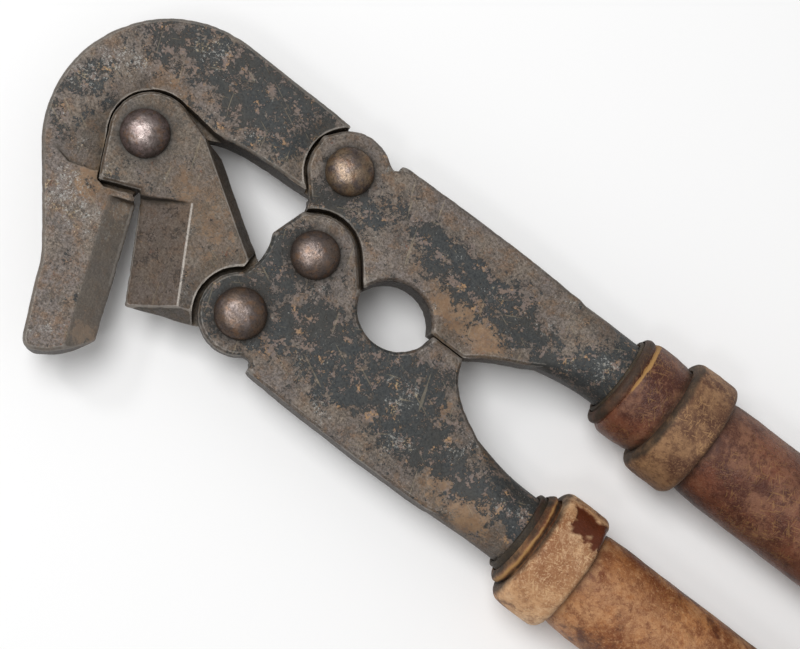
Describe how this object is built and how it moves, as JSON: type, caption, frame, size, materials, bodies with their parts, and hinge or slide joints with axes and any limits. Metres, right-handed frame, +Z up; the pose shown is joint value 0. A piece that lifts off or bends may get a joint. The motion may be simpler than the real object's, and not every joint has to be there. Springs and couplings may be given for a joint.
{
  "type": "bolt cutters",
  "caption": "Hand bolt cutters with forged lapped jaws and levers on domed rivets, and long leather-covered handles; the levers drive the jaws through a linkage.",
  "frame": {"origin": "on the table under the middle of the tool's outer box", "axes": "+X from the grips towards the jaws, +Y towards the lower lever and the blade tips, +Z up along the rivets; the tool lies flat"},
  "size_m": [0.559, 0.1208, 0.039],
  "materials": {
    "forged_steel": "bare forged steel, patches of old dark scale, light rust",
    "rivet_steel": "hand-polished steel, darker at the foot",
    "grip_leather": "smooth reddish-brown leather, scuffed",
    "collar_leather": "thick rubbed tan leather",
    "lining_leather": "dark inner leather",
    "handle_wood": "plain turned wood",
    "plain_steel": "dull steel"
  },
  "bodies": {
    "upper_lever": {"upper_lever": "forged_steel", "arm_rivet": "rivet_steel", "lever_rivet": "rivet_steel", "upper_grip_core": "handle_wood", "upper_grip_lining": "lining_leather", "upper_grip_sleeve": "grip_leather", "upper_guard_collar": "collar_leather", "upper_butt_collar": "collar_leather", "upper_butt_washer": "plain_steel", "upper_tang_nut": "plain_steel"},
    "lower_lever": {"lower_lever": "forged_steel", "tail_rivet": "rivet_steel", "lower_grip_core": "handle_wood", "lower_grip_lining": "lining_leather", "lower_grip_sleeve": "grip_leather", "lower_guard_collar": "collar_leather", "lower_butt_collar": "collar_leather", "lower_butt_washer": "plain_steel", "lower_tang_nut": "plain_steel"},
    "fixed_jaw": {"fixed_jaw": "forged_steel", "jaw_rivet": "rivet_steel"},
    "moving_jaw": {"moving_jaw": "forged_steel"}
  },
  "joints": [
    {"name": "lever_spread", "type": "hinge", "parent": "upper_lever", "child": "lower_lever", "pos_m": [0.18752, -0.01265, 0.0195], "axis": [0, 0, -1], "range_deg": [0, 45]},
    {"name": "arm_swing", "type": "hinge", "parent": "upper_lever", "child": "fixed_jaw", "pos_m": [0.19452, -0.03915, 0.0195], "axis": [0, 0, -1], "range_deg": [0, 27.5]},
    {"name": "jaw_opening", "type": "hinge", "parent": "fixed_jaw", "child": "moving_jaw", "pos_m": [0.24952, -0.01065, 0.0195], "axis": [0, 0, 1], "range_deg": [0, 9.2]}
  ],
  "couplings": [
    {"joint": "arm_swing", "follows": "lever_spread", "ratio": 0.6045},
    {"joint": "jaw_opening", "follows": "lever_spread", "ratio": 0.2007}
  ]
}
